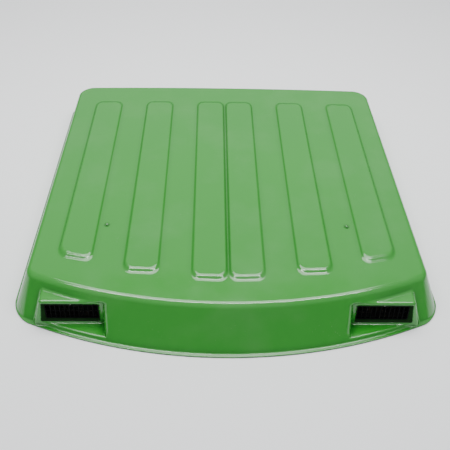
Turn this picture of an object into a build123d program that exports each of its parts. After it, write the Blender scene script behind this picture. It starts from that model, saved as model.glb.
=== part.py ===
from build123d import *
from math import degrees, hypot, radians, sqrt, tan
import os

# Tractor cab roof: a moulded outer shell with six raised ribs, two front air intakes and a hidden
# steel frame that carries the rubber-bushed mounting points.
# Millimetres. X to the right, Y to the rear, Z up. The origin is under the middle, on the rim plane.

# ---- overall shell ----
WIDTH = 1556.0
LENGTH = 1560.0
EDGE_HEIGHT = 142.0          # top face where it meets the side walls
CROWN = 10.0                 # extra height of the top face on the centreline
BOW_RADIUS = 1825.0          # front edge of the rim, seen from above
WALL = 4.0
FRONT_LIP = 10.0             # small outward lip round the rim
SIDE_LIP = 4.0               # the same at the sides and rear
LIP_THICK = 5.0
LIP_CORNER_R = 88.0
SIDE_RUN = 56.0              # how far each wall leans in over EDGE_HEIGHT
FRONT_RUN = 92.0
REAR_RUN = 32.0
FRONT_CORNER_R = 60.0
REAR_CORNER_R = 65.0
TOP_EDGE_R = 24.0

# ---- ribs, one entry for each pair: centre X, front end Y, slant of the front end ----
RIB_WIDTH = 127.0
RIB_HEIGHT = 9.5
RIB_REAR_Y = 599.0
RIB_CORNER_R = 24.0
RIB_EDGE_R = 3.0
RIB_DRAFT = 25.0             # degrees, long sides
RIB_END_DRAFT = 50.0         # front and rear ends slope more gently
RIB_PAIRS = [(67.5, -558.0, 0.04), (311.0, -524.0, 0.08), (555.0, -454.0, 0.26)]

# ---- intake pods in the front corners ----
POD_TOP = 112.0
POD_FRONT_Y = -630.0         # front face at POD_TOP
POD_RAKE = 8.0               # degrees, the foot of the face stands forward
POD_INNER_X = 447.0
POD_START_X = 407.0          # this end is inside the body
POD_OUTER_X = 690.0          # outer wall at the foot
POD_OUTER_RUN = 32.0         # how far that wall leans in up to POD_TOP
POD_BACK_Y = -440.0
POD_CORNER_R = 8.0
POD_BROW_R = 7.0
LEDGE_HEIGHT = 16.0          # shelf in front of each intake
NICHE_SPLAY = 0.3            # how fast the niche's inner wall opens towards the front
NICHE_DRAFT = 0.15           # and towards the top
POD_FACE_THICK = 16.0
RECESS_DEPTH = 12.0
RECESS_CORNER_R = 5.0
OPENING_X = 550.0            # middle of each intake opening
OPENING_Z = 57.0
OPENING_W = 188.0
OPENING_H = 64.0
RECESS_INNER = 5.0           # how much wider the recess mouth is than the opening, side by side
RECESS_OUTER_TOP = 7.0
RECESS_OUTER_FOOT = 18.0
RECESS_TOP = 15.0
RECESS_FOOT = 6.0

# ---- intake pieces, stacked behind the pod face ----
GASKET_THICK = 2.0
GASKET_RIM = 11.0
GRILLE_FLANGE = 3.0
GRILLE_GAP = 0.4
GRILLE_FRAME = 3.0
VANE_COUNT = 10
VANE_THICK = 2.5
HOUSING_WALL = 2.5
HOUSING_DEPTH = 105.0
DUCT_DROP = 3.5              # the level duct sits this much lower than the raked opening
SPIGOT_R = 26.0
SPIGOT_LENGTH = 22.0
FILTER_DEPTH = 28.0
FILTER_PLEATS = 22
PAPER = 4.0                  # along Y, so about 1 mm square to the steep pleats
FILTER_EASE = 0.6
SCREW_R = 2.0
SCREW_HEAD_R = 4.2
SCREW_HEAD = 2.6
SCREW_BITE = 8.0

# ---- hidden frame ----
BOND = 0.5                   # adhesive gap under the skin
SHEET = 2.0
HAT_FLANGE = 18.0
HAT_FLOOR = 44.0
HAT_DEPTH = 26.0
CROSS_HALF = 616.0
CROSS_Y = {"front": -277.0, "middle": 150.0, "rear": 560.0}
RAIL_X = 648.0
RAIL_FLANGE = 9.0
RAIL_FLOOR = 34.0
RAIL_FRONT_Y = -420.0
RAIL_REAR_Y = 640.0
GUSSET_X = 610.0
GUSSET_L = 96.0
GUSSET_W = 40.0
GUSSET_THICK = 2.5
RIVET_R = 2.4
RIVET_EASE = 0.1
RIVET_HEAD_R = 4.5
RIVET_TAIL_R = 3.5
RIVET_HEAD = 1.5
RIVET_ACROSS = (-22.0, 30.0) # one pair through the rail's floor, one through the cross member's
RIVET_ALONG = 12.0
FLAT_GAP = 0.15              # flat pieces clear the slightly curved floors by this

# ---- mounting points ----
MOUNT_X = 575.0
MOUNT_Y = (-190.0, 470.0)
MOUNT_BORE_R = 5.5
SLEEVE_R = 8.0
SLEEVE_H = 24.0
BUSH_R = 16.0
BUSH_NECK_R = 12.0
BUSH_SHORT = 0.5             # the steel sleeve stands proud of the rubber
BUSH_EDGE_R = 2.0
BRACKET_THICK = 5.0
BRACKET_W = 70.0
BRACKET_MARGIN = 12.0        # plate beyond the bush
BRACKET_CORNER_R = 8.0
BRACKET_LIP = 3.0
BRACKET_LIP_DROP = 8.0
BRACKET_BOLT_PITCH = 40.0
BRACKET_GAP = 0.2
M8_R = 4.0
M8_HEAD_R = 7.5
M8_HEAD = 5.3
M8_DOME_R = 12.0             # rounds off the corners of the exposed heads
M8_NUT = 6.5
M8_TAIL = 2.0                # thread that shows past the nut
NUT_LIFT = 1.2               # level nuts clear the tilted rail floors
HOLE_EASE = 0.3              # on the radius, for bolts and screws

# ---- through bolts in the skin ----
SKIN_BOLT_X = 461.0
SKIN_HOLE_R = 4.5
SEAL_WASHER_R = 10.0
SEAL_WASHER = 1.6
SPACER_R = 7.0

# ---- soft pieces ----
SEAL_LOW = 1.0
SEAL_HIGH = 11.0
SEAL_WIDTH = 11.0
FOAM = 12.0
FOAM_HALF = 590.0
FOAM_MARGIN = 12.0
FOAM_FRONT_Y = -510.0

# ---- worked out from the above ----
BOW_Y = BOW_RADIUS - LENGTH / 2
WALL_BASE_X = WIDTH / 2 - SIDE_LIP
WALL_BASE_Y = LENGTH / 2 - SIDE_LIP
TOP_HALF = WALL_BASE_X - SIDE_RUN
CROWN_R = (TOP_HALF**2 + CROWN**2) / (2 * CROWN)
CROWN_Z = EDGE_HEIGHT + CROWN - CROWN_R
CROWN_AXIS = Axis((0, 0, CROWN_Z), (0, 1, 0))
HAT_WIDTH = HAT_FLOOR + 2 * HAT_FLANGE
DUCT_LOW_Z = OPENING_Z - OPENING_H / 2 - DUCT_DROP
DUCT_HIGH_Z = OPENING_Z + OPENING_H / 2 - DUCT_DROP
CUT_HEIGHT = 220.0           # cutting tools reach this high
OVER = 1.0                   # and run this far past a face
FAR = 1200.0
SIDES = {"left": -1, "right": 1}


def lean(inset, run):
    """Horizontal move that shifts a leaning wall inward by inset, measured square to the wall."""
    return inset * hypot(run, EDGE_HEIGHT) / EDGE_HEIGHT


def crown_height(x, offset):
    """Height of the crowned top at x, for a surface that lies offset above the skin."""
    return CROWN_Z + sqrt((CROWN_R + offset) ** 2 - x**2)


def on_crown(part, x):
    """Swing a part made on the centreline round the crown axis until it stands at x."""
    return part.rotate(CROWN_AXIS, degrees(x / CROWN_R))


def mirror_x(part):
    return part.mirror(Plane.YZ)


def yz_prism(points, x_low, x_high):
    """Straight prism along X from (y, z) points."""
    wire = Polyline(*[(x_low, y, z) for y, z in points], close=True)
    return extrude(make_face(wire), amount=x_high - x_low, dir=(1, 0, 0))


def box_between(low, high):
    size = [b - a for a, b in zip(low, high)]
    middle = [(a + b) / 2 for a, b in zip(low, high)]
    return Pos(*middle) * Box(*size)


def tube_z(radius, z_low, z_high, bore=0.0):
    solid = Pos(0, 0, (z_low + z_high) / 2) * Cylinder(radius, z_high - z_low)
    if bore:
        solid -= Pos(0, 0, (z_low + z_high) / 2) * Cylinder(bore, z_high - z_low + 2 * OVER)
    return solid


def hexagon_z(radius, z_low, z_high, bore=0.0):
    solid = Pos(0, 0, z_low) * extrude(RegularPolygon(radius, 6), z_high - z_low)
    if bore:
        solid -= tube_z(bore, z_low - OVER, z_high + OVER)
    return solid


# ---------------------------------------------------------------- shell

def section_prism(inset, lift):
    """Sides and crowned top, along the whole length."""
    slope = SIDE_RUN / EDGE_HEIGHT
    base = WALL_BASE_X - lean(inset, SIDE_RUN)
    edge_z = crown_height(TOP_HALF, lift - inset)
    edge_x = base - slope * edge_z
    start = -FAR
    corners = [(-edge_x, start, edge_z), (-base, start, 0), (base, start, 0), (edge_x, start, edge_z)]
    top = ThreePointArc(corners[3], (0, start, crown_height(0, lift - inset)), corners[0])
    return extrude(make_face(Wire([*Polyline(*corners).edges(), top])), amount=2 * FAR, dir=(0, 1, 0))


def upright_edges(solid):
    return [edge for edge in solid.edges() if edge.bounding_box().size.Z > EDGE_HEIGHT / 2]


def body(inset):
    """The roof block between its leaning walls, shrunk by inset on every side."""
    front_r = BOW_RADIUS - FRONT_LIP - lean(inset, FRONT_RUN)
    front_top_r = front_r - FRONT_RUN * CUT_HEIGHT / EDGE_HEIGHT
    aligned = (Align.CENTER, Align.CENTER, Align.MIN)
    rear = WALL_BASE_Y - lean(inset, REAR_RUN)
    rear_top = rear - REAR_RUN * CUT_HEIGHT / EDGE_HEIGHT
    block = section_prism(inset, 0)
    block &= Pos(0, BOW_Y, 0) * Cone(front_r, front_top_r, CUT_HEIGHT, align=aligned)
    block &= yz_prism([(-FAR, 0), (rear, 0), (rear_top, CUT_HEIGHT), (-FAR, CUT_HEIGHT)], -FAR, FAR)
    front_edges = [edge for edge in upright_edges(block) if edge.center().Y < 0]
    block = fillet(front_edges, FRONT_CORNER_R - inset)
    rear_edges = [edge for edge in upright_edges(block) if edge.center().Y > WALL_BASE_Y - 2 * REAR_RUN]
    block = fillet(rear_edges, REAR_CORNER_R - inset)
    return fillet(block.faces().sort_by(Axis.Z)[-1].edges(), TOP_EDGE_R - inset)


def rib_outline(centre, front_y, slant, grow, end_grow, z):
    """Rib seen from above at height z: round corners and a front end slanted with the bow."""
    half = RIB_WIDTH / 2 + grow
    front = front_y - end_grow
    rear = RIB_REAR_Y + end_grow
    outline = Polyline((centre - half, front - slant * half), (centre + half, front + slant * half),
                       (centre + half, rear), (centre - half, rear), close=True)
    face = make_face(outline)
    return Pos(0, 0, z) * fillet(face.vertices(), RIB_CORNER_R + grow)


def rib(centre, front_y, slant, shrink):
    """One raised rib with drafted sides, from inside the block to just over the rib's top."""
    skin = crown_height(centre, 0)
    side_run, end_run = tan(radians(RIB_DRAFT)), tan(radians(RIB_END_DRAFT))
    outlines = []
    for z in (skin - 2 * RIB_HEIGHT, skin + 1.5 * RIB_HEIGHT):
        grow = (skin - z) * side_run - shrink * hypot(1, side_run)
        end_grow = (skin - z) * end_run - shrink * hypot(1, end_run)
        outlines.append(rib_outline(centre, front_y, slant, grow, end_grow, z))
    return loft(outlines, ruled=True)


def ribs(inset):
    """All six ribs, cut off by the raised crown and standing well into the block."""
    cap = section_prism(inset, RIB_HEIGHT)
    floor = box_between((-FAR, -FAR, EDGE_HEIGHT - RIB_HEIGHT), (FAR, FAR, CUT_HEIGHT))
    solids = []
    for centre, front_y, slant in RIB_PAIRS:
        one = rib(centre, front_y, slant, inset) & cap & floor
        if inset == 0:
            rim_low = crown_height(centre, RIB_HEIGHT) - RIB_EDGE_R
            rim = [edge for edge in one.edges() if edge.center().Z > rim_low]
            one = fillet(rim, RIB_EDGE_R)
        solids += [one, mirror_x(one)]
    return solids


def pod_face_y(z):
    return POD_FRONT_Y - (POD_TOP - z) * tan(radians(POD_RAKE))


def pod(inset, face_inset):
    """Box that carries one intake, right-hand side."""
    top = POD_TOP - inset
    front = [(pod_face_y(z) + face_inset, z) for z in (0.0, top)]
    solid = yz_prism([*front, (POD_BACK_Y, top), (POD_BACK_Y, 0.0)], POD_START_X, POD_OUTER_X)
    outer = [(POD_OUTER_X - inset - POD_OUTER_RUN * z / POD_TOP, z) for z in (0.0, CUT_HEIGHT)]
    beyond = [outer[0], (FAR, 0.0), (FAR, CUT_HEIGHT), outer[1]]
    wire = Polyline(*[(x, -FAR, z) for x, z in beyond], close=True)
    solid -= extrude(make_face(wire), amount=2 * FAR, dir=(0, 1, 0))
    if inset == 0:
        outer_front = [edge for edge in solid.edges() if edge.center().X > POD_OUTER_X - POD_OUTER_RUN
                       and edge.center().Y < POD_FRONT_Y and edge.center().Z > POD_TOP / 4]
        solid = fillet(outer_front, POD_CORNER_R)
        brow = [edge for edge in solid.faces().sort_by(Axis.Z)[-1].edges()
                if edge.center().X > POD_INNER_X and edge.center().Y < POD_BACK_Y - OVER]
        solid = fillet(brow, POD_BROW_R)
    return solid


def niche_wall_x(y, z):
    """The niche's inner wall, splayed outward to the front and drafted towards the top."""
    return POD_INNER_X - NICHE_SPLAY * (POD_FRONT_Y - y) - NICHE_DRAFT * (z - LEDGE_HEIGHT)


def niche(grow, face_inset):
    """Room in front of the intake, down to the ledge, right-hand side."""
    aside = grow * hypot(1, NICHE_SPLAY, NICHE_DRAFT)
    outlines = []
    for z in (LEDGE_HEIGHT - grow, POD_TOP + grow):
        back_y = pod_face_y(z) + face_inset
        inner = [(niche_wall_x(y, z) - aside, y) for y in (back_y, -FAR)]
        outline = Polyline(*inner, (WIDTH / 2, -FAR), (WIDTH / 2, back_y), close=True)
        outlines.append(Pos(0, 0, z) * make_face(outline))
    return loft(outlines, ruled=True)


def in_pod_frame(part):
    """From the opening's own axes (x across, y inward, z up the face) to the right-hand pod."""
    return Pos(OPENING_X, pod_face_y(OPENING_Z), OPENING_Z) * Rot(X=-POD_RAKE) * part


def opening_cut():
    """The stepped recess and the opening through the pod face, in the opening's own axes."""
    half_w, half_h = OPENING_W / 2, OPENING_H / 2
    mouth = Polyline((-half_w - RECESS_INNER, 0, -half_h - RECESS_FOOT),
                     (half_w + RECESS_OUTER_FOOT, 0, -half_h - RECESS_FOOT),
                     (half_w + RECESS_OUTER_TOP, 0, half_h + RECESS_TOP),
                     (-half_w - RECESS_INNER, 0, half_h + RECESS_TOP), close=True)
    throat = Polyline((-half_w, RECESS_DEPTH, -half_h), (half_w, RECESS_DEPTH, -half_h),
                      (half_w, RECESS_DEPTH, half_h), (-half_w, RECESS_DEPTH, half_h), close=True)
    recess = loft([make_face(mouth), make_face(throat)], ruled=True)
    inner_edges = [edge for edge in recess.edges() if edge.bounding_box().size.Y > RECESS_DEPTH / 2]
    recess = fillet(inner_edges, RECESS_CORNER_R)
    window = box_between((-half_w, RECESS_DEPTH - OVER, -half_h), (half_w, POD_FACE_THICK + OVER, half_h))
    return recess + fillet(window.edges().filter_by(Axis.Y), RECESS_CORNER_R)


def rim_lip():
    """Thin lip that runs round the rim."""
    radius = BOW_RADIUS
    corner_y = BOW_Y - sqrt(radius**2 - (WIDTH / 2) ** 2)
    half_x, rear_y = WIDTH / 2, LENGTH / 2
    corners = [(-half_x, corner_y), (-half_x, rear_y), (half_x, rear_y), (half_x, corner_y)]
    arc = ThreePointArc(corners[3], (0, -LENGTH / 2), corners[0])
    face = make_face(Wire([*Polyline(*corners).edges(), arc]))
    front = face.vertices().filter_by(lambda v: v.Y < 0)
    face = fillet(front, LIP_CORNER_R)
    rear = face.vertices().filter_by(lambda v: v.Y > LENGTH / 2 - 1)
    face = fillet(rear, REAR_CORNER_R + SIDE_LIP)
    return extrude(face, LIP_THICK)


def roof_shell():
    outer = body(0)
    for one in ribs(0):
        outer += one
    block = pod(0, 0)
    outer = outer + block + mirror_x(block)
    room = niche(0, 0)
    outer = outer - room - mirror_x(room)
    outer += rim_lip()

    inner = body(WALL)
    for one in ribs(WALL):
        inner += one
    hollow = pod(WALL, POD_FACE_THICK)
    inner = inner + hollow + mirror_x(hollow)
    web = niche(WALL, POD_FACE_THICK)
    inner = inner - web - mirror_x(web)

    shell = outer - inner
    cut = in_pod_frame(opening_cut())
    shell = shell - cut - mirror_x(cut)
    hole = Pos(0, CROSS_Y["front"], 0) * tube_z(SKIN_HOLE_R, skin_under(), CUT_HEIGHT)
    pilots = in_pod_frame(screw_set(SCREW_R, POD_FACE_THICK - SCREW_BITE - OVER, POD_FACE_THICK + OVER))
    for side in SIDES.values():
        shell -= on_crown(hole, side * SKIN_BOLT_X)
    shell = shell - pilots - mirror_x(pilots)
    return shell


# ---------------------------------------------------------------- intakes, right-hand side

def framed_plate(outer_w, outer_h, inner_w, inner_h, y_low, y_high, corner_r=0.0):
    plate = box_between((-outer_w / 2, y_low, -outer_h / 2), (outer_w / 2, y_high, outer_h / 2))
    if corner_r:
        plate = fillet(plate.edges().filter_by(Axis.Y), corner_r)
    return plate - box_between((-inner_w / 2, y_low - OVER, -inner_h / 2),
                               (inner_w / 2, y_high + OVER, inner_h / 2))


def screw_places():
    across = OPENING_W / 2 + GASKET_RIM / 2
    up = OPENING_H / 2 + GASKET_RIM / 2
    return [(x, z) for x in (-across, 0, across) for z in (-up, up)]


def along_y(radius, y_low, y_high):
    return Pos(0, (y_low + y_high) / 2, 0) * Rot(X=90) * Cylinder(radius, y_high - y_low)


def screw_set(radius, y_low, y_high):
    return Compound([Pos(x, 0, z) * along_y(radius, y_low, y_high) for x, z in screw_places()])


def gasket():
    rim_w, rim_h = OPENING_W + 2 * GASKET_RIM, OPENING_H + 2 * GASKET_RIM
    ring = framed_plate(rim_w, rim_h, OPENING_W, OPENING_H, POD_FACE_THICK, POD_FACE_THICK + GASKET_THICK)
    return ring - screw_set(SCREW_R + HOLE_EASE, POD_FACE_THICK - OVER, POD_FACE_THICK + GASKET_THICK + OVER)


def grille():
    """Flanged frame that plugs the opening from inside, with upright vanes and one cross bar."""
    rim_w, rim_h = OPENING_W + 2 * GASKET_RIM, OPENING_H + 2 * GASKET_RIM
    plug_w, plug_h = OPENING_W - 2 * GRILLE_GAP, OPENING_H - 2 * GRILLE_GAP
    bare_w, bare_h = plug_w - 2 * GRILLE_FRAME, plug_h - 2 * GRILLE_FRAME
    back = POD_FACE_THICK + GASKET_THICK
    front = RECESS_DEPTH + 0.5
    part = framed_plate(rim_w, rim_h, bare_w, bare_h, back, back + GRILLE_FLANGE)
    part += framed_plate(plug_w, plug_h, bare_w, bare_h, front, back + 0.5, RECESS_CORNER_R)
    pitch = bare_w / (VANE_COUNT + 1)
    for index in range(VANE_COUNT):
        x = -bare_w / 2 + (index + 1) * pitch
        part += box_between((x - VANE_THICK / 2, front + 1, -bare_h / 2 - 1),
                            (x + VANE_THICK / 2, back + GRILLE_FLANGE, bare_h / 2 + 1))
    part += box_between((-bare_w / 2 - 1, back, -VANE_THICK / 2),
                        (bare_w / 2 + 1, back + GRILLE_FLANGE, VANE_THICK / 2))
    return part - screw_set(SCREW_R + HOLE_EASE, back - OVER, back + GRILLE_FLANGE + OVER)


def housing_start():
    return POD_FACE_THICK + GASKET_THICK + GRILLE_FLANGE


def housing():
    """Duct box behind the grille with a round outlet at its back."""
    start = housing_start()
    rim_w, rim_h = OPENING_W + 2 * GASKET_RIM, OPENING_H + 2 * GASKET_RIM
    plate = box_between((-rim_w / 2, start, -rim_h / 2), (rim_w / 2, start + HOUSING_WALL, rim_h / 2))
    plate = in_pod_frame(plate)
    half_w = OPENING_W / 2
    low_z, high_z = DUCT_LOW_Z, DUCT_HIGH_Z
    front_y = POD_FRONT_Y - POD_FACE_THICK
    back_y = POD_FRONT_Y + HOUSING_DEPTH
    duct = box_between((OPENING_X - half_w, front_y, low_z), (OPENING_X + half_w, back_y, high_z))
    room = box_between((OPENING_X - half_w + HOUSING_WALL, front_y, low_z + HOUSING_WALL),
                       (OPENING_X + half_w - HOUSING_WALL, back_y - HOUSING_WALL, high_z - HOUSING_WALL))
    keep = in_pod_frame(box_between((-FAR, start, -FAR), (FAR, FAR, FAR)))
    spigot_z = (low_z + high_z) / 2
    spigot = Pos(OPENING_X, back_y - HOUSING_WALL, spigot_z) * along_y(SPIGOT_R, 0, SPIGOT_LENGTH)
    bore = Pos(OPENING_X, back_y - HOUSING_WALL, spigot_z) * along_y(
        SPIGOT_R - HOUSING_WALL, -2 * HOUSING_WALL, SPIGOT_LENGTH + OVER)
    part = (plate + (duct & keep)) - room
    part = part + spigot - bore
    return part - in_pod_frame(screw_set(SCREW_R + HOLE_EASE, start - OVER, start + HOUSING_WALL + OVER))


def filter_element():
    """Pleated paper element standing in the duct."""
    half_w = OPENING_W / 2 - HOUSING_WALL - FILTER_EASE
    low_z = DUCT_LOW_Z + HOUSING_WALL + FILTER_EASE
    high_z = DUCT_HIGH_Z - HOUSING_WALL - FILTER_EASE
    near_y = POD_FRONT_Y + HOUSING_DEPTH - HOUSING_WALL - FILTER_EASE - FILTER_DEPTH
    step = 2 * half_w / FILTER_PLEATS
    front, back = [], []
    for index in range(FILTER_PLEATS + 1):
        x = OPENING_X - half_w + index * step
        y = near_y + (FILTER_DEPTH - PAPER if index % 2 else 0)
        front.append((x, y))
        back.append((x, y + PAPER))
    face = make_face(Polyline(*front, *reversed(back), close=True))
    return Pos(0, 0, low_z) * extrude(face, high_z - low_z)


def grille_screws():
    start = housing_start() + HOUSING_WALL
    shanks = screw_set(SCREW_R, POD_FACE_THICK - SCREW_BITE, start + 0.2)
    heads = screw_set(SCREW_HEAD_R, start, start + SCREW_HEAD)
    return Compound([shank + head for shank, head in zip(shanks.solids(), heads.solids())])


# ---------------------------------------------------------------- hidden frame

def hat_points(floor, flange):
    """Half-open channel profile with its flanges up, as (across, height) from the flange tops."""
    half = floor / 2
    right = [(half, -HAT_DEPTH), (half, -SHEET), (half + flange, -SHEET), (half + flange, 0),
             (half - SHEET, 0), (half - SHEET, SHEET - HAT_DEPTH)]
    return [(-x, z) for x, z in reversed(right)] + right


def skin_under():
    """Height of the frame's top on the centreline, just under the skin."""
    return crown_height(0, -WALL - BOND)


def crowned_bar(points, half_span):
    """Bar across the roof that follows the crown, from (y, z) points on the centreline."""
    face = make_face(Polyline(*[(0, y, z) for y, z in points], close=True))
    half_turn = degrees(half_span / CROWN_R)
    return revolve(face, CROWN_AXIS, 2 * half_turn).rotate(CROWN_AXIS, -half_turn)


def cross_member(y):
    top = skin_under()
    bar = crowned_bar([(y + across, top + z) for across, z in hat_points(HAT_FLOOR, HAT_FLANGE)], CROSS_HALF)
    if y == CROSS_Y["front"]:
        hole = Pos(0, y, 0) * tube_z(SKIN_HOLE_R, top - HAT_DEPTH - OVER, top + OVER)
        for side in SIDES.values():
            bar -= on_crown(hole, side * SKIN_BOLT_X)
    for side in SIDES.values():
        bar -= gusset_holes(side, y, top)
    return bar


def rivet_places(y):
    return [(across, y + along) for across in RIVET_ACROSS for along in (-RIVET_ALONG, RIVET_ALONG)]


def gusset_holes(side, y, top):
    """Rivet holes at one gusset, through both floors."""
    cutters = []
    for across, along in rivet_places(y):
        hole = Pos(0, along, 0) * tube_z(RIVET_R + RIVET_EASE, top - 1.5 * HAT_DEPTH, top - HAT_DEPTH / 2)
        cutters.append(on_crown(hole, side * (GUSSET_X + across)))
    return Compound(cutters)


def side_rail(side):
    top = skin_under()
    points = hat_points(RAIL_FLOOR, RAIL_FLANGE)
    face = make_face(Polyline(*[(x, RAIL_FRONT_Y, top + z) for x, z in points], close=True))
    rail = on_crown(extrude(face, amount=RAIL_REAR_Y - RAIL_FRONT_Y, dir=(0, 1, 0)), side * RAIL_X)
    for y in CROSS_Y.values():
        rail -= gusset_holes(side, y, top)
    for y in MOUNT_Y:
        rail -= bracket_holes(side, y)
    return rail


def gusset_plates():
    under = skin_under() - HAT_DEPTH - FLAT_GAP
    plates = []
    for side in SIDES.values():
        for y in CROSS_Y.values():
            plate = box_between((-GUSSET_L / 2, y - GUSSET_W / 2, under - GUSSET_THICK),
                                (GUSSET_L / 2, y + GUSSET_W / 2, under))
            plates.append(on_crown(plate, side * GUSSET_X) - gusset_holes(side, y, skin_under()))
    return Compound(plates)


def gusset_rivets():
    floor = skin_under() - HAT_DEPTH
    plate_low = floor - FLAT_GAP - GUSSET_THICK
    rivets = []
    for side in SIDES.values():
        for y in CROSS_Y.values():
            for across, along in rivet_places(y):
                shank = tube_z(RIVET_R, plate_low - RIVET_HEAD / 2, floor + SHEET + RIVET_HEAD / 2)
                low_head = tube_z(RIVET_HEAD_R, plate_low - RIVET_HEAD, plate_low)
                high_head = tube_z(RIVET_TAIL_R, floor + SHEET + FLAT_GAP, floor + SHEET + RIVET_HEAD)
                rivet = Pos(0, along, 0) * (shank + low_head + high_head)
                rivets.append(on_crown(rivet, side * (GUSSET_X + across)))
    return Compound(rivets)


# ---------------------------------------------------------------- mounting points

def bracket_top():
    """Top of the level bracket plates, just under the rails' slightly tilted floors."""
    tilt_drop = RAIL_FLOOR / 2 * RAIL_X / CROWN_R
    return crown_height(RAIL_X, -WALL - BOND) - HAT_DEPTH - tilt_drop - BRACKET_GAP


def bracket_holes(side, y):
    low, high = bracket_top() - 2 * BRACKET_THICK, bracket_top() + BRACKET_THICK
    holes = [Pos(side * RAIL_X, y + along, 0) * tube_z(M8_R + HOLE_EASE, low, high)
             for along in (-BRACKET_BOLT_PITCH / 2, BRACKET_BOLT_PITCH / 2)]
    return Compound(holes)


def mount_bracket(side, y):
    """Level plate on a rail, with a turned-down stiffening lip and a round seat for the bush."""
    top = bracket_top()
    far_x = RAIL_X + RAIL_FLOOR / 2
    near_x = MOUNT_X - BUSH_R - BRACKET_MARGIN
    plate = box_between((near_x, y - BRACKET_W / 2, top - BRACKET_THICK), (far_x, y + BRACKET_W / 2, top))
    plate = fillet(plate.edges().filter_by(Axis.Z), BRACKET_CORNER_R)
    lip_low = top - BRACKET_THICK - BRACKET_LIP_DROP
    for edge_y in (y - BRACKET_W / 2, y + BRACKET_W / 2 - BRACKET_LIP):
        plate += box_between((near_x + BRACKET_CORNER_R, edge_y, lip_low),
                             (far_x - BRACKET_CORNER_R, edge_y + BRACKET_LIP, top))
    plate -= Pos(MOUNT_X, y, 0) * tube_z(BUSH_NECK_R, lip_low, top + OVER)
    if side < 0:
        plate = mirror_x(plate)
    return plate - bracket_holes(side, y)


def at_mounts(part):
    return Compound([Pos(side * MOUNT_X, y, 0) * part for side in SIDES.values() for y in MOUNT_Y])


def mount_bushes():
    """Rubber bushes with a neck through the bracket and a flange on each side."""
    top = bracket_top()
    height = (SLEEVE_H - BRACKET_THICK) / 2 - BUSH_SHORT
    bush = tube_z(BUSH_NECK_R, top - BRACKET_THICK, top)
    bush += tube_z(BUSH_R, top, top + height)
    bush += tube_z(BUSH_R, top - BRACKET_THICK - height, top - BRACKET_THICK)
    ends = bush.edges().filter_by(GeomType.CIRCLE).sort_by(Axis.Z)
    bush = fillet([ends[0], ends[-1]], BUSH_EDGE_R)
    return at_mounts(bush - tube_z(SLEEVE_R, top - SLEEVE_H, top + SLEEVE_H))


def mount_sleeves():
    middle = bracket_top() - BRACKET_THICK / 2
    return at_mounts(tube_z(SLEEVE_R, middle - SLEEVE_H / 2, middle + SLEEVE_H / 2, MOUNT_BORE_R))


def at_bracket_bolts(part):
    places = [(side * RAIL_X, y + along) for side in SIDES.values() for y in MOUNT_Y
              for along in (-BRACKET_BOLT_PITCH / 2, BRACKET_BOLT_PITCH / 2)]
    return Compound([Pos(x, y, 0) * part for x, y in places])


def bracket_bolts():
    seat = bracket_top() - BRACKET_THICK
    shank = tube_z(M8_R, seat - OVER, bracket_top() + SHEET + NUT_LIFT + M8_NUT + M8_TAIL)
    return at_bracket_bolts(hexagon_z(M8_HEAD_R, seat - M8_HEAD, seat) + shank)


def bracket_nuts():
    seat = bracket_top() + SHEET + NUT_LIFT
    return at_bracket_bolts(hexagon_z(M8_HEAD_R, seat, seat + M8_NUT, M8_R))


# ---------------------------------------------------------------- bolts through the skin

def at_skin_bolts(part):
    placed = Pos(0, CROSS_Y["front"], 0) * part
    return Compound([on_crown(placed, side * SKIN_BOLT_X) for side in SIDES.values()])


def skin_bolt_washers():
    skin = crown_height(0, 0)
    return at_skin_bolts(tube_z(SEAL_WASHER_R, skin + FLAT_GAP, skin + SEAL_WASHER, M8_R + HOLE_EASE))


def skin_bolts():
    seat = crown_height(0, 0) + SEAL_WASHER
    floor = skin_under() - HAT_DEPTH
    head = hexagon_z(M8_HEAD_R, seat, seat + M8_HEAD)
    head &= Pos(0, 0, seat + M8_HEAD - M8_DOME_R) * Sphere(M8_DOME_R + FLAT_GAP)
    return at_skin_bolts(head + tube_z(M8_R, floor - M8_NUT - M8_TAIL, seat + OVER))


def skin_bolt_spacers():
    low = skin_under() - HAT_DEPTH + SHEET
    return at_skin_bolts(tube_z(SPACER_R, low, crown_height(0, -WALL) - FLAT_GAP, M8_R + HOLE_EASE))


def skin_bolt_nuts():
    floor = skin_under() - HAT_DEPTH
    return at_skin_bolts(hexagon_z(M8_HEAD_R, floor - M8_NUT, floor - FLAT_GAP, M8_R))


# ---------------------------------------------------------------- soft pieces

def rim_seal():
    """Rubber strip that lines the inside of the rim."""
    slab = box_between((-FAR, -FAR, SEAL_LOW), (FAR, FAR, SEAL_HIGH))
    return (body(WALL + BOND) - body(WALL + BOND + SEAL_WIDTH)) & slab


def foam_pad(y_low, y_high):
    top = skin_under()
    return crowned_bar([(y_low, top - FOAM), (y_high, top - FOAM), (y_high, top), (y_low, top)], FOAM_HALF)


def foam_bays():
    """Y ranges of the bays between the cross members."""
    edge = HAT_WIDTH / 2 + FOAM_MARGIN
    front, middle, rear = CROSS_Y.values()
    return {"front": (FOAM_FRONT_Y, front - edge), "middle": (front + edge, middle - edge),
            "rear": (middle + edge, rear - edge)}


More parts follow.
